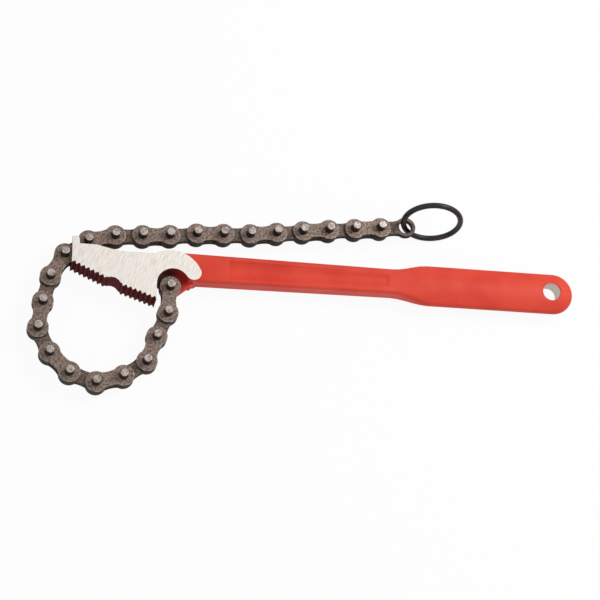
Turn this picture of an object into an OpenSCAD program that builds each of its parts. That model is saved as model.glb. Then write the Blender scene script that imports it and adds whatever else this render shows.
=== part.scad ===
// Chain pipe wrench lying on its side: a one-piece jaw and handle, a leaf chain with long pins and an end ring.
// The origin is the centre of the hanging hole on the mid-plane. +X runs from the jaw to the free end of the
// handle, and +Z is square to the flat sides of the jaw.

/* [Handle] */
// Hanging hole to anchor pin, along the handle
anchor_reach = 230; // [210:1:250]
// Anchor pin below the centreline of the handle
anchor_drop = 12; // [11:0.5:13]
// Width of the grip
grip_w = 24.8; // [22:0.2:27]
// Thickness of the grip
grip_t = 12; // [11:0.5:13.5]
// Radius of its crowned faces
grip_crown = 23; // [21:0.5:30]
// Hanging hole to the free end of the grip
grip_tail = 14.2; // [13:0.2:18]
// Hanging hole to the front of the grip
grip_l = 76; // [65:1:90]
// Length of the flare between neck and grip
flare_l = 22; // [14:1:28]
// Diameter of the hanging hole
hang_d = 10.8; // [8:0.2:12]
// Chamfer at both ends of that hole
hang_chamfer = 1; // [0.8:0.1:1.4]
// Width of the neck at the head
neck_w = 17.4; // [16:0.2:19]
// Width of the neck at the flare
neck_end_w = 15.2; // [14:0.2:17]
// Thickness of the neck
neck_t = 11; // [9:0.5:12]
// Radius along the edges of the neck
neck_round = 1.6; // [0.8:0.2:2.4]
// Depth of the dished groove along each side of the neck
groove_depth = 2.6; // [1.8:0.2:3.2]
// Slope at which the groove rises towards the grip, in degrees
groove_fade = 0.9; // [0.4:0.1:1.2]
// Width of the flange above and below the groove
flange_w = 1.8; // [1.4:0.2:3]
// Anchor pin to the front of the groove
groove_setback = 34; // [26:1:45]

/* [Jaw] */
// Thickness of the jaw
jaw_t = 16; // [15:0.5:19]
// Height of the front edge of the nose
nose_h = 11.6; // [10.6:0.2:13]
// Length of the flat on top of the nose, from its front edge
nose_flat = 13.7; // [11:0.2:15]
// Height of the horn at the front of the nose, over that flat
horn_h = 4.4; // [3.6:0.2:5]
// Width of the top of the horn
horn_w = 3.6; // [3:0.2:4]
// Slope of its rear face, along the nose
horn_slope = 0.8; // [0.4:0.1:1.2]
// Length of the slope behind that flat
nose_slope = 13; // [10:0.5:16]
// Drop from the top of the nose to the back of the jaw
back_drop = 3; // [2:0.2:4]
// Radius of the round back of the claw
claw_r = 18.6; // [17.6:0.2:20]
// Centre of that round above the anchor pin
claw_rise = 2; // [1:0.2:3]
// Direction in which the claw ends, seen from the recess
claw_angle = 34; // [28:1:40]
// Radius of the recess round the anchor
recess_r = 9.5; // [8.5:0.1:10.5]
// Centre of the recess behind the anchor pin
recess_shift = 1.2; // [0.6:0.1:1.6]
// Anchor pin to the foot of its web under the neck
web_foot = 15; // [13:0.5:18]
// Lower end of the toothed edge below the anchor pin
heel_drop = 10; // [9:0.2:11]
// Outward bulge at the middle of the toothed edge
edge_bulge = 1; // [0.5:0.1:2]
// Pitch of the teeth
tooth_pitch = 2.65; // [2.2:0.05:3.2]
// Depth of the teeth
tooth_h = 1.6; // [1.2:0.1:2]
// Radius of the smooth relief between the toothed runs
relief_r = 5.7; // [5:0.1:7]
// Depth of that relief
relief_depth = 2.9; // [2.4:0.1:3.6]

/* [Chain] */
// Distance between pins
link_pitch = 15.875; // [14.5:0.125:17]
// Diameter of a pin
pin_d = 5; // [4.4:0.1:5.6]
// Length of a pin outside the jaw, each side
pin_proud = 1.5; // [1:0.1:2]
// Chamfer at the ends of a pin
pin_chamfer = 0.4; // [0.2:0.1:0.6]
// Radius of the round ends of a plate
plate_r = 6.1; // [5.6:0.1:6.5]
// Half height of a plate at its waist
plate_waist = 4.1; // [3.7:0.1:4.7]
// Thickness of a plate
plate_t = 1.8; // [1.4:0.1:2.2]

/* [End ring] */
// Mean radius of the ring
ring_r = 17; // [14:0.5:20]
// Diameter of its wire
ring_wire_d = 3.4; // [2.8:0.1:3.6]
// Lean of the ring from upright
ring_lean = 13; // [6:1:18]
// Turn of the ring from the line of the last link
ring_turn = -10; // [-20:1:20]

/* [Fits] */
// Radial clearance of a pin in an inner plate and in the anchor web
pin_clear = 0.05; // [0.03:0.01:0.08]
// Clearance between plates side by side
plate_clear = 0.2; // [0.15:0.05:0.3]
// Gap between the two plates of an inner link
leaf_gap = 0.1; // [0.1:0.05:0.2]
// Clearance of the chain in the nose slot, each side
slot_clear = 0.4; // [0.3:0.1:0.6]
// Clearance from the plate ends to the floor of the nose slot
slot_floor_clear = 1; // [0.8:0.1:1.4]
// Gap between the hooked pin and the top of the nose
seat_gap = 1.4; // [1.2:0.1:1.8]
// Gap between the hooked pin and the front of the nose
hook_gap = 1.2; // [1:0.1:2]
// Gap between the anchor boss and the first inner link
boss_gap = 3.6; // [3:0.1:4.2]
// Clearance of the ring in its hole
ring_clear = 0.6; // [0.5:0.05:0.8]
// Height of the ring over the plane that the pin ends rest on
ring_floor_gap = 0.1; // [0.05:0.05:0.3]

/* [Hidden] */
$fn = 64;
overlap = 1;
far = 80;
slice_t = 0.1;
waist_ease = 1.5;
waist_cut = 0.75;
edge_ease = 1.02;
flare_steps = 5;
handle_fn = 36;
crown_fn = 240;
web_angle = -48;

// Bends of the chain at its pins, in degrees, from the anchor round the loop and along the free end
first_heading = -93.3;
loop_bends = [0, -19, 3, -35, -19, -35, -25, -20, -34, -6, -15, -27];
tail_bends = [-19, -11, 0, 3, -4, 0, 4, 0, 0, -1, 0, 1];
bends = concat(loop_bends, tail_bends);
link_count = len(bends);
pair_count = link_count / 2;
// The two pins that straddle the nose
seat_pin = len(loop_bends);
front_pin = seat_pin - 1;

function heading(k) = k == 0 ? first_heading + bends[0] : heading(k - 1) + bends[k];
function along(a) = [cos(a), sin(a)];
function ease(f) = f * f * (3 - 2 * f);
function between(f, a, b) = a + f * (b - a);
function pin_at(k) = k == 0 ? anchor : pin_at(k - 1) + link_pitch * along(heading(k - 1));

anchor = [-anchor_reach, -anchor_drop];
pin_r = pin_d / 2;
pin_l = jaw_t + 2 * pin_proud;
inner_t = 2 * plate_t + leaf_gap;
outer_z = inner_t / 2 + plate_clear;
chain_t = 2 * (outer_z + plate_t);
slot_t = chain_t + 2 * slot_clear;
web_t = inner_t;
boss_r = link_pitch - plate_r - boss_gap;

// Arc that hollows the waist, a little flatter than the one that would just touch the round ends
touch_r = (pow(link_pitch / 2, 2) + pow(plate_waist, 2) - pow(plate_r, 2)) / (2 * (plate_r - plate_waist));
waist_r = waist_ease * touch_r;
shoulder = plate_waist + waist_cut * (plate_r - plate_waist);

// Corners of the jaw
nose_x = pin_at(front_pin)[0] + pin_r + hook_gap;
nose_top = pin_at(seat_pin)[1] - pin_r - seat_gap;
nose_low = [nose_x, nose_top - nose_h];
recess_c = anchor + [recess_shift, 0];
wall_x = recess_c[0] - recess_r;
heel = [wall_x, anchor[1] - heel_drop];
edge_dir = (heel - nose_low) / norm(heel - nose_low);
edge_out = [edge_dir[1], -edge_dir[0]];
edge_mid = (nose_low + heel) / 2 + edge_bulge * edge_out;
relief_c = edge_mid + (relief_r - relief_depth) * edge_out;
claw_c = anchor + [0, claw_rise];

// End of the claw: a round tip between the recess and the round back
claw_dir = along(claw_angle);
claw_shift = claw_dir * (claw_c - recess_c);
claw_reach = claw_shift + sqrt(pow(claw_shift, 2) - pow(norm(claw_c - recess_c), 2) + pow(claw_r, 2));
claw_tip_r = (claw_reach - recess_r) / 2;
claw_tip_c = recess_c + claw_dir * (recess_r + claw_tip_r);

// Floor of the nose slot, parallel to the link that lies in it
slot_dir = along(heading(front_pin));
slot_down = [slot_dir[1], -slot_dir[0]];
slot_floor = pin_at(seat_pin) + (plate_r + slot_floor_clear) * slot_down;

// Handle stations
neck_x = -(grip_l + flare_l);
round_x = grip_tail - grip_w / 2;
groove_x = anchor[0] + groove_setback;
groove_half = min(neck_w, neck_end_w) / 2 - flange_w;
groove_r = (pow(groove_half, 2) + pow(groove_depth, 2)) / (2 * groove_depth);
groove_l = neck_x - groove_x - groove_half;

// Round edges of the grip, a little larger than those that would just reach the crowned faces
crown_drop = grip_crown - grip_t / 2;
edge_b = 2 * crown_drop - grip_w;
edge_c = pow(crown_drop, 2) - pow(grip_crown, 2) + pow(grip_w, 2) / 4;
grip_round = edge_ease * (sqrt(pow(edge_b, 2) - 8 * edge_c) - edge_b) / 4;

// The ring stands on the plane of the pin ends, so it climbs in its hole
ring_hole_c = pin_at(link_count);
ring_climb = asin(1 - (pin_l / 2 - ring_wire_d / 2 - ring_floor_gap) / (ring_r * cos(ring_lean)));
ring_slant = acos(cos(ring_climb) * cos(ring_lean));
ring_hole_r = (ring_wire_d + inner_t * sin(ring_slant)) / cos(ring_slant) / 2 + ring_clear;

FRONT = [for (k = [1:pair_count]) str("front_plate_", k)];
BACK = [for (k = [1:pair_count]) str("back_plate_", k)];
PINS = [for (k = [1:pair_count]) str("link_pins_", k)];
INNER = [for (k = [1:pair_count]) str("inner_plates_", k)];

// Points of a toothed run from a to b, tips on the line and roots inside the jaw
function teeth(a, b) =
    let (
        count = floor(norm(b - a) / tooth_pitch),
        step = (b - a) / count,
        inward = [step[1], -step[0]] / norm(step) * tooth_h
    )
    [for (i = [0:count - 1], half = [0, 1]) a + step * (i + half / 2) + half * inward];

module jaw_outline() {
    nose = [
        [nose_x, nose_top + horn_h],
        [nose_x + horn_w, nose_top + horn_h],
        [nose_x + horn_w + horn_slope, nose_top],
        [nose_x + nose_flat, nose_top],
        [nose_x + nose_flat + nose_slope, nose_top - back_drop],
        [anchor[0], nose_top - back_drop],
        anchor
    ];
    polygon(concat(nose, teeth(heel, edge_mid), teeth(edge_mid, nose_low), [nose_low]));
}

// Room below the claw, from its end round to the heel
module under_claw() {
    polygon([
        recess_c,
        recess_c + far * claw_dir,
        recess_c + [far, -far],
        [wall_x, recess_c[1] - far],
        [wall_x, recess_c[1]]
    ]);
}

module jaw_side() {
    difference() {
        union() {
            jaw_outline();
            translate(claw_c) intersection() {
                circle(r = claw_r);
                translate([-far / 2, -claw_rise]) square(far);
            }
        }
        under_claw();
        translate(relief_c) circle(r = relief_r);
    }
    translate(claw_tip_c) circle(r = claw_tip_r);
}

// Section of the handle: a bar with round edges, w wide and t thick
module bar_section(w, t, r) {
    square([w - 2 * r, t], center = true);
    square([w, t - 2 * r], center = true);
    for (y = [-1, 1], z = [-1, 1])
        translate([y * (w / 2 - r), z * (t / 2 - r)]) circle(r = r);
}

// Oval section: crowned faces and round edges, whose centres lie z from the middle
module oval_section(w, t, r, z, crown_r) {
    edge_y = w / 2 - r;
    intersection() {
        union() {
            square([2 * edge_y, t], center = true);
            for (y = [-1, 1], h = z > 0 ? [-z, z] : [0])
                translate([y * edge_y, h]) circle(r = r);
        }
        translate([0, t / 2 - crown_r]) circle(r = crown_r, $fn = crown_fn);
        translate([0, crown_r - t / 2]) circle(r = crown_r, $fn = crown_fn);
    }
}

module grip_section() {
    oval_section(grip_w, grip_t, grip_round, 0, grip_crown);
}

// Lays a section across the handle at x
module slice(x, l) {
    translate([x, 0, 0]) rotate([90, 0, 90]) linear_extrude(l) children();
}

module neck_slice(x, w) {
    slice(x, slice_t, $fn = handle_fn) bar_section(w, neck_t, neck_round);
}

module neck() {
    hull() {
        neck_slice(anchor[0], neck_w);
        neck_slice(neck_x - slice_t, neck_end_w);
    }
}

// Slice of the flare at a share f of the way from neck to grip
module flare_slice(f) {
    grown = ease(f);
    w = between(grown, neck_end_w, grip_w);
    t = between(grown, neck_t, grip_t);
    r = between(grown, neck_round, grip_round);
    z = between(grown, neck_t / 2 - neck_round, 0);
    slice(between(f, neck_x, -grip_l), slice_t, $fn = handle_fn) {
        if (f == 0) bar_section(w, t, r);
        else oval_section(w, t, r, z, grip_crown / grown);
    }
}

module flare() {
    for (i = [1:flare_steps])
        hull() {
            flare_slice((i - 1) / flare_steps);
            flare_slice(i / flare_steps);
        }
}

module grip() {
    slice(-grip_l, grip_l + round_x) grip_section();
    translate([round_x, 0, 0]) rotate_extrude() intersection() {
        grip_section();
        translate([0, -far / 2]) square(far);
    }
}

module hanging_hole() {
    cylinder(d = hang_d, h = 2 * grip_t, center = true);
    for (side = [0, 1])
        mirror([0, 0, side])
            translate([0, 0, grip_t / 2 - hang_chamfer])
                cylinder(d1 = hang_d, d2 = hang_d + 4 * hang_chamfer, h = 2 * hang_chamfer);
}

// Dished groove along each side of the neck, square at the front and round at the rear
module grooves() {
    for (side = [0, 1])
        mirror([0, 0, side])
            translate([groove_x, 0, neck_t / 2 + groove_r - groove_depth])
                rotate([0, 90 - groove_fade, 0])
                    rotate_extrude() {
                        square([groove_r, groove_l]);
                        intersection() {
                            translate([0, groove_l]) circle(r = groove_r);
                            square([groove_r, groove_l + groove_r]);
                        }
                    }
}

// Web that carries the anchor pin, with a round boss and a foot under the neck
module anchor_web() {
    linear_extrude(web_t, center = true)
        difference() {
            union() {
                translate(anchor) circle(r = boss_r);
                polygon([
                    anchor,
                    anchor + boss_r * along(web_angle),
                    [anchor[0] + web_foot, overlap - neck_w / 2],
                    recess_c + [recess_r, recess_r]
                ]);
                intersection() {
                    translate(recess_c) circle(r = recess_r + overlap);
                    translate([wall_x - overlap, anchor[1]]) square(far);
                }
            }
            translate(anchor) circle(r = pin_r + pin_clear);
        }
}

module nose_slot() {
    linear_extrude(slot_t, center = true)
        polygon([
            slot_floor - far * slot_dir,
            slot_floor + far * slot_dir,
            slot_floor + far * (slot_dir - slot_down),
            slot_floor - far * (slot_dir + slot_down)
        ]);
}

module jaw_and_handle() {
    color("firebrick") {
        difference() {
            union() {
                linear_extrude(jaw_t, center = true) jaw_side();
                neck();
                flare();
                grip();
            }
            linear_extrude(2 * jaw_t, center = true) translate(recess_c) circle(r = recess_r);
            nose_slot();
            grooves();
            hanging_hole();
        }
        anchor_web();
    }
}

// Moves a piece of link k from the first pin at the origin to its place
module at_link(k) {
    translate(pin_at(k)) rotate(heading(k)) children();
}

module plate_side(first_hole_r, last_hole_r) {
    difference() {
        union() {
            for (x = [0, link_pitch]) translate([x, 0]) circle(r = plate_r);
            difference() {
                translate([0, -shoulder]) square([link_pitch, 2 * shoulder]);
                for (side = [-1, 1])
                    translate([link_pitch / 2, side * (plate_waist + waist_r)]) circle(r = waist_r);
            }
        }
        circle(r = first_hole_r);
        translate([link_pitch, 0]) circle(r = last_hole_r);
    }
}

module outer_plate(k, z) {
    color("dimgray")
        at_link(2 * k - 2)
            translate([0, 0, z]) linear_extrude(plate_t) plate_side(pin_r, pin_r);
}

module link_pin() {
    cylinder(r = pin_r, h = pin_l - 2 * pin_chamfer, center = true);
    for (side = [0, 1])
        mirror([0, 0, side])
            translate([0, 0, pin_l / 2 - pin_chamfer])
                cylinder(r1 = pin_r, r2 = pin_r - pin_chamfer, h = pin_chamfer);
}

module link_pins(k) {
    color("silver")
        at_link(2 * k - 2)
            for (x = [0, link_pitch]) translate([x, 0, 0]) link_pin();
}

module inner_plates(k) {
    hole_r = pin_r + pin_clear;
    last_hole_r = k == pair_count ? ring_hole_r : hole_r;
    color("gray")
        at_link(2 * k - 1)
            for (side = [0, 1])
                mirror([0, 0, side])
                    translate([0, 0, leaf_gap / 2]) linear_extrude(plate_t) plate_side(hole_r, last_hole_r);
}

module end_ring() {
    color("black")
        translate(ring_hole_c)
            rotate(heading(link_count - 1) + ring_turn)
                rotate([-ring_lean, 0, 0])
                    translate([ring_r * cos(ring_climb), 0, ring_r * sin(ring_climb)])
                        rotate([90, 0, 0])
                            rotate_extrude() translate([ring_r, 0]) circle(d = ring_wire_d);
}

jaw_and_handle();
end_ring();
for (k = [1:pair_count]) {
    outer_plate(k, outer_z);
    outer_plate(k, -outer_z - plate_t);
    link_pins(k);
    inner_plates(k);
}
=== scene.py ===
import bmesh
import bpy
from mathutils import Matrix, Vector


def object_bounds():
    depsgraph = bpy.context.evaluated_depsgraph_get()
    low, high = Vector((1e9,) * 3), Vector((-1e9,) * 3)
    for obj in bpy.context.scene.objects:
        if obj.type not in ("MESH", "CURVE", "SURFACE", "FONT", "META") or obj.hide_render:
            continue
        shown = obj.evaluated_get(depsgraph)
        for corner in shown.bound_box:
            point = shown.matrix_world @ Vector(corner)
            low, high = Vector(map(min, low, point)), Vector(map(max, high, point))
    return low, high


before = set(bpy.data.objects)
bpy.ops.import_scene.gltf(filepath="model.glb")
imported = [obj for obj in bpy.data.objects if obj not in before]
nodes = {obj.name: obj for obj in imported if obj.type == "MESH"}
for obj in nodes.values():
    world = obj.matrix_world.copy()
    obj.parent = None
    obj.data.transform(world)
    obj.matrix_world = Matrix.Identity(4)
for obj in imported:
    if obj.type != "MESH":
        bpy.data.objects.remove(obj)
cadLow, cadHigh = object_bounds()
print("frame loaded:", len(nodes), "nodes")

floatKind = "NodeSocketFloat"
colourKind = "NodeSocketColor"
vectorKind = "NodeSocketVector"
geometryKind = "NodeSocketGeometry"
mixSockets = {"RGBA": ((0, 6, 7), 2), "FLOAT": ((0, 2, 3), 0)}  # inputs and output that a Mix node uses


def screenColour(red, green, blue):  # 0 to 255 as seen on a screen, to linear values
    linear = [((c / 255 + 0.055) / 1.055) ** 2.4 for c in (red, green, blue)]
    return (*linear, 1.0)


def addNode(tree, kind, **settings):
    node = tree.nodes.new(kind)
    for key, value in settings.items():
        setattr(node, key, value)
    return node


def feed(tree, socket, source):  # a socket gets a link or a fixed value
    if isinstance(source, bpy.types.NodeSocket):
        tree.links.new(source, socket)
    else:
        socket.default_value = source


def feedAll(tree, sockets, sources):
    for socket, source in zip(sockets, sources):
        feed(tree, socket, source)


def maths(tree, operation, *sources):
    node = addNode(tree, "ShaderNodeMath", operation=operation)
    feedAll(tree, node.inputs, sources)
    return node.outputs[0]


def vectorMaths(tree, operation, *sources):  # gives the outputs Vector and Value
    node = addNode(tree, "ShaderNodeVectorMath", operation=operation)
    feedAll(tree, node.inputs, sources)
    return node.outputs


def spread(tree, value, low, high, toLow=0.0, toHigh=1.0):  # smooth step between two values
    node = addNode(tree, "ShaderNodeMapRange", interpolation_type="SMOOTHSTEP")
    feedAll(tree, node.inputs, (value, low, high, toLow, toHigh))
    return node.outputs[0]


def blend(tree, kind, *sources):  # sources are the factor and what it gives at 0 and at 1
    node = addNode(tree, "ShaderNodeMix", data_type=kind)
    inputs, output = mixSockets[kind]
    feedAll(tree, [node.inputs[number] for number in inputs], sources)
    return node.outputs[output]


def blendColour(tree, factor, first, second):
    return blend(tree, "RGBA", factor, first, second)


def blendValue(tree, factor, first, second):
    return blend(tree, "FLOAT", factor, first, second)


def noise(tree, vector, scale, detail):
    node = addNode(tree, "ShaderNodeTexNoise")
    feed(tree, node.inputs["Vector"], vector)
    feed(tree, node.inputs["Scale"], scale)
    feed(tree, node.inputs["Detail"], detail)
    return node.outputs[0]


def splitAxes(tree, vector):
    node = tree.nodes.new("ShaderNodeSeparateXYZ")
    feed(tree, node.inputs[0], vector)
    return node.outputs


def upright(tree, vector):  # size of the upright share, the same on both sides of the tool
    return maths(tree, "ABSOLUTE", splitAxes(tree, vector)["Z"])


def newGroup(name, kind, inputs, outputs):
    group = bpy.data.node_groups.new(name, kind)
    for label, socketKind in inputs:
        group.interface.new_socket(name=label, in_out="INPUT", socket_type=socketKind)
    for label, socketKind in outputs:
        group.interface.new_socket(name=label, in_out="OUTPUT", socket_type=socketKind)
    start = group.nodes.new("NodeGroupInput")
    end = group.nodes.new("NodeGroupOutput")
    return group, start.outputs, end.inputs


effects = {
    "cloudDetail": 5,
    "cloudSoftness": 0.16,  # half the width of the change from light to dark
    "strokeDetail": 3,
    "strokeFrom": 0.42,
    "strokeTo": 0.62,
    "grainDetail": 4,
    "grainFrom": 0.35,
    "grainTo": 0.65,
}


def makeMottle():  # cloudy change between two colours
    group, given, result = newGroup(
        "mottle",
        "ShaderNodeTree",
        [("Vector", vectorKind), ("Scale", floatKind), ("Light", colourKind),
         ("Dark", colourKind), ("Balance", floatKind)],
        [("Color", colourKind), ("Mask", floatKind)],
    )
    cloud = noise(group, given["Vector"], given["Scale"], effects["cloudDetail"])
    low = maths(group, "SUBTRACT", given["Balance"], effects["cloudSoftness"])
    high = maths(group, "ADD", given["Balance"], effects["cloudSoftness"])
    mask = spread(group, cloud, low, high)
    feed(group, result["Color"], blendColour(group, mask, given["Light"], given["Dark"]))
    feed(group, result["Mask"], mask)
    return group


def makeStrokes():  # long fine marks, all turned one way
    group, given, result = newGroup(
        "strokes",
        "ShaderNodeTree",
        [("Vector", vectorKind), ("Turn", floatKind), ("Scale", floatKind), ("Length", floatKind)],
        [("Mask", floatKind), ("Height", floatKind)],
    )
    turned = addNode(group, "ShaderNodeVectorRotate", rotation_type="Z_AXIS")
    feed(group, turned.inputs["Vector"], given["Vector"])
    feed(group, turned.inputs["Angle"], given["Turn"])
    squeeze = group.nodes.new("ShaderNodeCombineXYZ")  # draws the noise out along one axis
    feedAll(group, squeeze.inputs, (maths(group, "DIVIDE", 1.0, given["Length"]), 1.0, 1.0))
    stretched = vectorMaths(group, "MULTIPLY", turned.outputs[0], squeeze.outputs[0])
    lines = noise(group, stretched["Vector"], given["Scale"], effects["strokeDetail"])
    feed(group, result["Mask"], spread(group, lines, effects["strokeFrom"], effects["strokeTo"]))
    feed(group, result["Height"], lines)
    return group


def makeGrit():  # fine pitted skin of tumbled or enamelled steel
    group, given, result = newGroup(
        "grit",
        "ShaderNodeTree",
        [("Vector", vectorKind), ("Scale", floatKind)],
        [("Mask", floatKind), ("Height", floatKind)],
    )
    grains = noise(group, given["Vector"], given["Scale"], effects["grainDetail"])
    feed(group, result["Mask"], spread(group, grains, effects["grainFrom"], effects["grainTo"]))
    feed(group, result["Height"], grains)
    return group


mottle = makeMottle()
strokes = makeStrokes()
grit = makeGrit()
print("shared effects:", mottle.name, strokes.name, grit.name)


def addEffect(tree, group, **values):  # a shared effect with its own values
    node = tree.nodes.new("ShaderNodeGroup")
    node.node_tree = group
    for label, source in values.items():
        feed(tree, node.inputs[label], source)
    return node.outputs


def newMaterial(name):
    material = bpy.data.materials.new(name)
    material.use_nodes = True
    tree = material.node_tree
    shader = tree.nodes["Principled BSDF"]
    coords = tree.nodes.new("ShaderNodeTexCoord").outputs
    return material, tree, shader, coords


def addBump(tree, shader, height, strength, depth):
    bump = tree.nodes.new("ShaderNodeBump")
    bump.inputs["Strength"].default_value = strength
    bump.inputs["Distance"].default_value = depth
    feed(tree, bump.inputs["Height"], height)
    feed(tree, shader.inputs["Normal"], bump.outputs[0])


forging = {
    "red": screenColour(227, 78, 61),
    "deepRed": screenColour(218, 68, 53),
    "redScale": 55.0,
    "redBalance": 0.55,
    "enamelRough": 0.4,
    "enamelRougher": 0.48,
    "enamelGloss": 0.12,
    "peelScale": 650.0,
    "peelHeight": 0.35,  # share of the ground steel's relief
    "steel": screenColour(234, 229, 222),
    "steelShade": screenColour(219, 211, 202),
    "steelRough": 0.5,
    "steelRougher": 0.62,
    "steelMetal": 0.35,
    "markTurn": -1.2,  # grinding marks
    "markScale": 2000.0,
    "markLength": 12.0,
    "groundFrom": 0.00772,  # height over the mid-plane where the ground sides begin
    "groundTo": 0.00790,
    "wobbleScale": 900.0,  # unevenness of the border of the ground sides
    "wobbleDetail": 2,
    "wobbleSize": 0.00012,
    # the teeth's red enamel painted dark as shade
    "toothShadeRed": screenColour(112, 26, 30),
    "toothShadeDark": screenColour(66, 16, 20),
    "toothScale": 420.0,
    "toothBalance": 0.5,
    "toothRough": 0.75,
    "toothPoint": (-0.2872, -0.0028, 0.0),  # front end of the toothed edge
    "toothOut": (-0.3655, -0.9308, 0.0),  # direction out of the toothed edge
    "toothFrom": -0.0052,
    "toothTo": -0.0040,
    "headFrom": -0.2372,  # along the tool, where the toothed head begins
    "headTo": -0.2380,
    "recessPoint": (-0.2288, -0.012, 0.0),  # the chain's anchor
    "recessTo": 0.0086,
    "recessFrom": 0.0118,
    # the recess's enamel painted darker as shade, near black on one side
    "recessShadeRed": screenColour(172, 40, 42),
    "recessShadeDark": screenColour(50, 31, 28),
    "shadeSide": (-0.8, 0.6, 0.0),  # the side of the recess painted darkest as shade
    "shadeFrom": 0.0,
    "shadeTo": 0.007,
    "footFrom": -0.008,  # the foot of the web, on the other side, gets no painted shade
    "footTo": -0.003,
    "holeRadius": 0.0056,
    "holeHeight": 0.0050,
    "bumpStrength": 0.25,
    "bumpDepth": 0.00012,
    "bevel": 0.00025,
    "rimFrom": 0.0079,  # height over the mid-plane of the rims that are rounded
}


def findGround(tree, spot):  # bare ground steel on the jaw's flat sides and in the hanging hole
    rough = noise(tree, spot, forging["wobbleScale"], forging["wobbleDetail"])
    wobble = maths(tree, "MULTIPLY", rough, forging["wobbleSize"])
    height = maths(tree, "ADD", upright(tree, spot), wobble)
    ground = spread(tree, height, forging["groundFrom"], forging["groundTo"])
    flat = vectorMaths(tree, "MULTIPLY", spot, (1, 1, 0))
    fromHole = vectorMaths(tree, "LENGTH", flat["Vector"])
    inHole = maths(tree, "LESS_THAN", fromHole["Value"], forging["holeRadius"])
    inside = maths(tree, "LESS_THAN", height, forging["holeHeight"])
    return maths(tree, "MAXIMUM", ground, maths(tree, "MULTIPLY", inHole, inside))


def findTeeth(tree, spot):  # a band along the toothed edge
    fromEdge = vectorMaths(tree, "SUBTRACT", spot, forging["toothPoint"])
    outward = vectorMaths(tree, "DOT_PRODUCT", fromEdge["Vector"], forging["toothOut"])
    nearEdge = spread(tree, outward["Value"], forging["toothFrom"], forging["toothTo"])
    onHead = spread(tree, splitAxes(tree, spot)["X"], forging["headFrom"], forging["headTo"])
    return maths(tree, "MULTIPLY", nearEdge, onHead)


def findRecess(tree, spot):  # the enamel round the chain's anchor, painted darker as shade, darkest on one side, and its colour
    flat = vectorMaths(tree, "MULTIPLY", spot, (1, 1, 0))
    away = vectorMaths(tree, "DISTANCE", flat["Vector"], forging["recessPoint"])
    near = spread(tree, away["Value"], forging["recessTo"], forging["recessFrom"], 1.0, 0.0)
    aside = vectorMaths(tree, "SUBTRACT", spot, forging["recessPoint"])
    toShade = vectorMaths(tree, "DOT_PRODUCT", aside["Vector"], forging["shadeSide"])
    shadeShare = spread(tree, toShade["Value"], forging["shadeFrom"], forging["shadeTo"])
    offFoot = spread(tree, toShade["Value"], forging["footFrom"], forging["footTo"])
    colour = blendColour(tree, shadeShare, forging["recessShadeRed"], forging["recessShadeDark"])
    return maths(tree, "MULTIPLY", near, offFoot), colour


def makeForgingFinish():  # enamel, ground sides, teeth and anchor recess painted darker as shade, and a bare hanging hole in one material
    material, tree, shader, coords = newMaterial("redEnamel")
    spot = coords["Object"]
    bare = findGround(tree, spot)
    tooth = findTeeth(tree, spot)
    recess, recessShadeColour = findRecess(tree, spot)
    clouds = addEffect(tree, mottle, Vector=spot, Scale=forging["redScale"], Balance=forging["redBalance"],
                       Light=forging["red"], Dark=forging["deepRed"])
    toothShadeClouds = addEffect(tree, mottle, Vector=spot, Scale=forging["toothScale"],
                            Balance=forging["toothBalance"],
                            Light=forging["toothShadeRed"], Dark=forging["toothShadeDark"])
    marks = addEffect(tree, strokes, Vector=spot, Turn=forging["markTurn"], Scale=forging["markScale"],
                      Length=forging["markLength"])
    peel = addEffect(tree, grit, Vector=spot, Scale=forging["peelScale"])

    # painted shade in the anchor recess
    enamel = blendColour(tree, recess, clouds["Color"], recessShadeColour)
    # the teeth painted darker as shade
    painted = blendColour(tree, tooth, enamel, toothShadeClouds["Color"])
    steel = blendColour(tree, marks["Mask"], forging["steel"], forging["steelShade"])
    feed(tree, shader.inputs["Base Color"], blendColour(tree, bare, painted, steel))
    feed(tree, shader.inputs["Metallic"], maths(tree, "MULTIPLY", bare, forging["steelMetal"]))
    shader.inputs["Specular IOR Level"].default_value = forging["enamelGloss"]

    shineRough = blendValue(tree, peel["Mask"], forging["enamelRough"], forging["enamelRougher"])
    enamelRough = blendValue(tree, tooth, shineRough, forging["toothRough"])
    steelRough = blendValue(tree, marks["Mask"], forging["steelRough"], forging["steelRougher"])
    feed(tree, shader.inputs["Roughness"], blendValue(tree, bare, enamelRough, steelRough))
    enamelHeight = maths(tree, "MULTIPLY", peel["Height"], forging["peelHeight"])
    relief = blendValue(tree, bare, enamelHeight, marks["Height"])
    addBump(tree, shader, relief, forging["bumpStrength"], forging["bumpDepth"])
    return material


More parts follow.
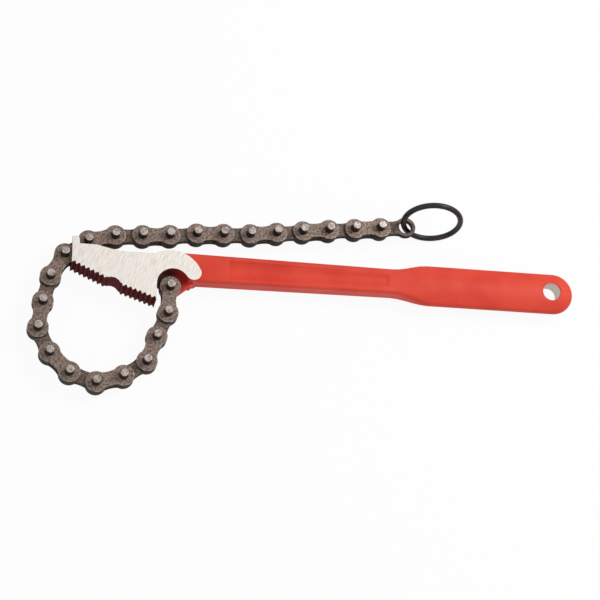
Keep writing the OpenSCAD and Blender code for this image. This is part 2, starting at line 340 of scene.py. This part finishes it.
chain = {
    "outerLight": screenColour(144, 126, 115),
    "outerDark": screenColour(90, 77, 69),
    "innerLight": screenColour(114, 100, 91),
    "innerDark": screenColour(74, 63, 57),
    "plateSideShade": screenColour(30, 25, 23),  # sides painted near black as shade
    "plateScale": 800.0,
    "plateBalance": 0.52,
    "plateMetal": 0.55,
    "plateRough": 0.46,
    "plateRougher": 0.6,
    "plateGloss": 0.08,
    "plateGrit": 2200.0,
    "plateBump": 0.3,
    "plateBevel": 0.0003,
    "sideFrom": 0.3,  # upright share of the direction that a surface faces
    "faceFrom": 0.75,
    # corners inside the chain, painted dark as shade
    "cornerShade": screenColour(70, 60, 54),
    "rubbedAndSheen": screenColour(170, 156, 148),  # outer corners, rubbed bright in use and painted lighter as highlight
    "rubbedSheenDark": screenColour(112, 99, 93),
    "rubFrom": 0.0034,  # height over the mid-plane where the rubbed rims begin
    "rubTo": 0.0036,
    "rubScale": 500.0,
    "rubBalance": 0.48,
    "rubRough": 0.34,
    "rubRougher": 0.48,
    # pin sides painted dark as shade
    "pinSideShade": screenColour(54, 45, 41),
    "pinSideShadeDark": screenColour(30, 24, 22),
    "pinSideScale": 420.0,
    "pinSideBalance": 0.5,
    "pinEnd": screenColour(184, 174, 168),
    "pinEndDark": screenColour(124, 113, 107),
    "pinEndScale": 700.0,
    "pinEndBalance": 0.52,
    "pinEndFrom": 0.00915,  # height over the mid-plane where the bright ends begin
    "pinEndTo": 0.00940,
    "pinMetal": 0.7,
    "pinRough": 0.34,
    "pinRougher": 0.46,
    "pinGloss": 0.06,
    "pinGrit": 1800.0,
    "pinBump": 0.2,
    "pinBevel": 0.00012,
    "bumpDepth": 0.00008,
}


def makePlateFinish(name, light, dark):  # mottled faces, and sides painted dark as shade
    material, tree, shader, coords = newMaterial(name)
    spot = coords["Object"]
    skin = addEffect(tree, mottle, Vector=spot, Scale=chain["plateScale"], Balance=chain["plateBalance"],
                     Light=light, Dark=dark)
    grains = addEffect(tree, grit, Vector=spot, Scale=chain["plateGrit"])
    onFace = spread(tree, upright(tree, coords["Normal"]), chain["sideFrom"], chain["faceFrom"])
    colour = blendColour(tree, onFace, chain["plateSideShade"], skin["Color"])
    feed(tree, shader.inputs["Base Color"], colour)
    feed(tree, shader.inputs["Metallic"], maths(tree, "MULTIPLY", onFace, chain["plateMetal"]))
    shader.inputs["Specular IOR Level"].default_value = chain["plateGloss"]
    rough = blendValue(tree, grains["Mask"], chain["plateRough"], chain["plateRougher"])
    feed(tree, shader.inputs["Roughness"], rough)
    addBump(tree, shader, grains["Height"], chain["plateBump"], chain["bumpDepth"])
    return material


def makeCornerWearAndShadeFinish():  # corners of the plates: rubbed bright and painted lighter as highlight on the outer faces of the chain, painted dark as shade inside it
    material, tree, shader, coords = newMaterial("cornerWearAndShade")
    spot = coords["Object"]
    wearAndSheen = addEffect(tree, mottle, Vector=spot, Scale=chain["rubScale"], Balance=chain["rubBalance"],
                     Light=chain["rubbedAndSheen"], Dark=chain["rubbedSheenDark"])
    atRim = spread(tree, upright(tree, spot), chain["rubFrom"], chain["rubTo"])
    colour = blendColour(tree, atRim, chain["cornerShade"], wearAndSheen["Color"])
    feed(tree, shader.inputs["Base Color"], colour)
    feed(tree, shader.inputs["Metallic"], maths(tree, "MULTIPLY", atRim, chain["plateMetal"]))
    shader.inputs["Specular IOR Level"].default_value = chain["plateGloss"]
    rough = blendValue(tree, wearAndSheen["Mask"], chain["rubRough"], chain["rubRougher"])
    feed(tree, shader.inputs["Roughness"], rough)
    return material


def makePinFinish():  # sides painted dark as shade, and ends rubbed bright
    material, tree, shader, coords = newMaterial("pinSteel")
    spot = coords["Object"]
    side = addEffect(tree, mottle, Vector=spot, Scale=chain["pinSideScale"],
                     Balance=chain["pinSideBalance"],
                     Light=chain["pinSideShade"], Dark=chain["pinSideShadeDark"])
    end = addEffect(tree, mottle, Vector=spot, Scale=chain["pinEndScale"],
                    Balance=chain["pinEndBalance"],
                    Light=chain["pinEnd"], Dark=chain["pinEndDark"])
    grains = addEffect(tree, grit, Vector=spot, Scale=chain["pinGrit"])
    atEnd = spread(tree, upright(tree, spot), chain["pinEndFrom"], chain["pinEndTo"])
    feed(tree, shader.inputs["Base Color"], blendColour(tree, atEnd, side["Color"], end["Color"]))
    feed(tree, shader.inputs["Metallic"], maths(tree, "MULTIPLY", atEnd, chain["pinMetal"]))
    shader.inputs["Specular IOR Level"].default_value = chain["pinGloss"]
    rough = blendValue(tree, end["Mask"], chain["pinRough"], chain["pinRougher"])
    feed(tree, shader.inputs["Roughness"], rough)
    addBump(tree, shader, grains["Height"], chain["pinBump"], chain["bumpDepth"])
    return material


ring = {
    "black": screenColour(24, 21, 20),
    "brown": screenColour(48, 38, 34),
    "scale": 300.0,
    "balance": 0.56,
    "metal": 0.4,
    "rough": 0.34,
    "rougher": 0.49,
    "grit": 1600.0,
    "bump": 0.2,
    "bumpDepth": 0.00008,
    "bevel": 0,  # round wire has no edges
}


def makeRingFinish():  # blackened wire
    material, tree, shader, coords = newMaterial("ringWire")
    spot = coords["Object"]
    skin = addEffect(tree, mottle, Vector=spot, Scale=ring["scale"], Balance=ring["balance"],
                     Light=ring["black"], Dark=ring["brown"])
    grains = addEffect(tree, grit, Vector=spot, Scale=ring["grit"])
    feed(tree, shader.inputs["Base Color"], skin["Color"])
    shader.inputs["Metallic"].default_value = ring["metal"]
    rough = blendValue(tree, skin["Mask"], ring["rough"], ring["rougher"])
    feed(tree, shader.inputs["Roughness"], rough)
    addBump(tree, shader, grains["Height"], ring["bump"], ring["bumpDepth"])
    return material


cornerWearAndShade = makeCornerWearAndShadeFinish()
outerPlate = makePlateFinish("outerPlate", chain["outerLight"], chain["outerDark"])
innerPlate = makePlateFinish("innerPlate", chain["innerLight"], chain["innerDark"])
finishes = {  # materials, the last one on the rounded corners, and the width of those
    "jaw_and_handle": ([makeForgingFinish()], forging["bevel"]),
    "end_ring": ([makeRingFinish()], ring["bevel"]),
    "front_plate": ([outerPlate, cornerWearAndShade], chain["plateBevel"]),
    "inner_plates": ([innerPlate, cornerWearAndShade], chain["plateBevel"]),
    "link_pins": ([makePinFinish()], chain["pinBevel"]),
}
finishes["back_plate"] = finishes["front_plate"]

edges = {
    "weldReach": 0.000001,
    "flatAngle": 0.008,  # triangles that differ by less become one face
    "sharpAngle": 0.6,  # edges sharper than this are rounded
    "curveAngle": 0.5,  # edges shallower than this are shaded as one curve
    "segments": 2,
    "flatWeight": 100,
}


def newShapeGroup(name):
    group, given, result = newGroup(
        name, "GeometryNodeTree", [("Geometry", geometryKind)], [("Geometry", geometryKind)])
    return group, given["Geometry"], result["Geometry"]


def compare(tree, operation, value, limit):
    node = addNode(tree, "FunctionNodeCompare", operation=operation)
    feedAll(tree, node.inputs, (value, limit))
    return node.outputs[0]


def edgeAngle(tree):
    return tree.nodes.new("GeometryNodeInputMeshEdgeAngle").outputs[0]


def makeSmoothing():  # geometry nodes that round the shading of shallow edges only
    group, start, end = newShapeGroup("softShading")
    faceShading = addNode(group, "GeometryNodeSetShadeSmooth", domain="FACE")
    edgeShading = addNode(group, "GeometryNodeSetShadeSmooth", domain="EDGE")
    shallow = compare(group, "LESS_THAN", edgeAngle(group), edges["curveAngle"])
    feed(group, faceShading.inputs["Geometry"], start)
    feed(group, edgeShading.inputs["Geometry"], faceShading.outputs[0])
    feed(group, edgeShading.inputs["Shade Smooth"], shallow)
    feed(group, end, edgeShading.outputs[0])
    return group


def makeRimPick():  # geometry nodes that mark the sharp rims of the jaw's flat sides
    group, start, end = newShapeGroup("rimEdges")
    position = group.nodes.new("GeometryNodeInputPosition").outputs[0]
    sharp = compare(group, "GREATER_THAN", edgeAngle(group), edges["sharpAngle"])
    high = compare(group, "GREATER_THAN", upright(group, position), forging["rimFrom"])
    rim = addNode(group, "FunctionNodeBooleanMath", operation="AND")
    feedAll(group, rim.inputs, (sharp, high))
    mark = addNode(group, "GeometryNodeStoreNamedAttribute", data_type="FLOAT", domain="EDGE")
    mark.inputs["Name"].default_value = "bevel_weight_edge"
    feed(group, mark.inputs["Geometry"], start)
    feed(group, mark.inputs["Value"], rim.outputs[0])
    feed(group, end, mark.outputs[0])
    return group


smoothing = makeSmoothing()
rimPick = makeRimPick()


def softenEdges(piece, width, rimsOnly):  # rounds the sharp edges and shades the curves
    weld = piece.modifiers.new("join", "WELD")
    weld.merge_threshold = edges["weldReach"]
    clean = piece.modifiers.new("clean", "DECIMATE")
    clean.decimate_type = "DISSOLVE"
    clean.angle_limit = edges["flatAngle"]
    if rimsOnly:
        pick = piece.modifiers.new("rims", "NODES")
        pick.node_group = rimPick
    if width:
        bevel = piece.modifiers.new("rounding", "BEVEL")
        bevel.width = width
        bevel.segments = edges["segments"]
        bevel.limit_method = "WEIGHT" if rimsOnly else "ANGLE"
        bevel.angle_limit = edges["sharpAngle"]
        bevel.use_clamp_overlap = not rimsOnly
        bevel.material = len(piece.data.materials) - 1
    shading = piece.modifiers.new("shading", "NODES")
    shading.node_group = smoothing
    flats = piece.modifiers.new("flats", "WEIGHTED_NORMAL")
    flats.keep_sharp = True
    flats.weight = edges["flatWeight"]


for name, piece in nodes.items():
    kind = name.rstrip("0123456789").rstrip("_")
    materials, width = finishes[kind]
    piece.data.materials.clear()
    for material in materials:
        piece.data.materials.append(material)
    softenEdges(piece, width, kind == "jaw_and_handle")
print("finishes:", len(finishes), "kinds on", len(nodes), "nodes")


studio = {
    "floorHalf": 4.0,
    "floorColour": (0.9, 0.9, 0.9, 1.0),
    "floorRough": 0.9,
    "floorWhite": 0.94,  # share of plain white that the camera sees in the floor
    "worldColour": (1.0, 1.0, 1.0, 1.0),
    "worldLight": 0.44,
    "worldShown": 1.0,  # strength that the camera sees, and metal or glass shows
    "keyPlace": (0.48, 0.26, 0.86),
    "keySize": 0.45,
    "keyPower": 7.0,
    "fillPlace": (-0.9, -0.5, 0.7),
    "fillSize": 0.9,
    "fillPower": 1.2,
    "aim": (-0.16, -0.01, 0.0),
}


def shownRays(tree):  # 1 for rays that show the background to the camera, to metal or to glass
    path = tree.nodes.new("ShaderNodeLightPath")
    seen = maths(tree, "MAXIMUM", path.outputs["Is Camera Ray"], path.outputs["Is Glossy Ray"])
    return maths(tree, "MAXIMUM", seen, path.outputs["Is Transmission Ray"])


def makeFloor():
    mesh = bmesh.new()
    bmesh.ops.create_grid(mesh, x_segments=1, y_segments=1, size=studio["floorHalf"])
    bmesh.ops.translate(mesh, vec=(studio["aim"][0], studio["aim"][1], cadLow.z), verts=mesh.verts)
    data = bpy.data.meshes.new("studioFloor")
    mesh.to_mesh(data)
    mesh.free()
    floor = bpy.data.objects.new("studioFloor", data)
    bpy.context.scene.collection.objects.link(floor)
    material = bpy.data.materials.new("paleFloor")
    material.use_nodes = True
    tree = material.node_tree
    shader = tree.nodes["Principled BSDF"]
    shader.inputs["Base Color"].default_value = studio["floorColour"]
    shader.inputs["Roughness"].default_value = studio["floorRough"]
    white = tree.nodes.new("ShaderNodeEmission")
    mix = tree.nodes.new("ShaderNodeMixShader")
    share = maths(tree, "MULTIPLY", shownRays(tree), studio["floorWhite"])
    feedAll(tree, mix.inputs, (share, shader.outputs[0], white.outputs[0]))
    feed(tree, tree.nodes["Material Output"].inputs[0], mix.outputs[0])
    data.materials.append(material)


def makeWorld():
    world = bpy.data.worlds.new("studioWhite")
    bpy.context.scene.world = world
    world.use_nodes = True
    tree = world.node_tree
    sky = tree.nodes["Background"]
    sky.inputs["Color"].default_value = studio["worldColour"]
    strength = blendValue(tree, shownRays(tree), studio["worldLight"], studio["worldShown"])
    feed(tree, sky.inputs["Strength"], strength)


def addSoftbox(name, where, size, power):
    lamp = bpy.data.lights.new(name, "AREA")
    lamp.size = size
    lamp.energy = power
    box = bpy.data.objects.new(name, lamp)
    box.location = where
    box.rotation_euler = (Vector(where) - Vector(studio["aim"])).to_track_quat("Z", "Y").to_euler()
    bpy.context.scene.collection.objects.link(box)


makeFloor()
makeWorld()
addSoftbox("keySoftbox", studio["keyPlace"], studio["keySize"], studio["keyPower"])
addSoftbox("fillSoftbox", studio["fillPlace"], studio["fillSize"], studio["fillPower"])
bpy.context.scene.view_settings.view_transform = "Standard"

shot = {
    "place": (-0.34167, -0.35175, 0.93665),
    "right": (0.98052, -0.00191, 0.19647),
    "up": (-0.06373, 0.94280, 0.32722),
    "fieldWidth": 0.346,  # width of the picture over the distance
    "sensorWidth": 36,
}


def makeCamera():
    lens = bpy.data.cameras.new("studioCamera")
    lens.sensor_width = shot["sensorWidth"]
    lens.lens = shot["sensorWidth"] / shot["fieldWidth"]
    camera = bpy.data.objects.new("studioCamera", lens)
    right = Vector(shot["right"])
    up = Vector(shot["up"])
    turn = Matrix((right, up, right.cross(up))).transposed()
    camera.matrix_world = Matrix.Translation(shot["place"]) @ turn.to_4x4()
    bpy.context.scene.collection.objects.link(camera)
    bpy.context.scene.camera = camera


makeCamera()
print("studio ready")
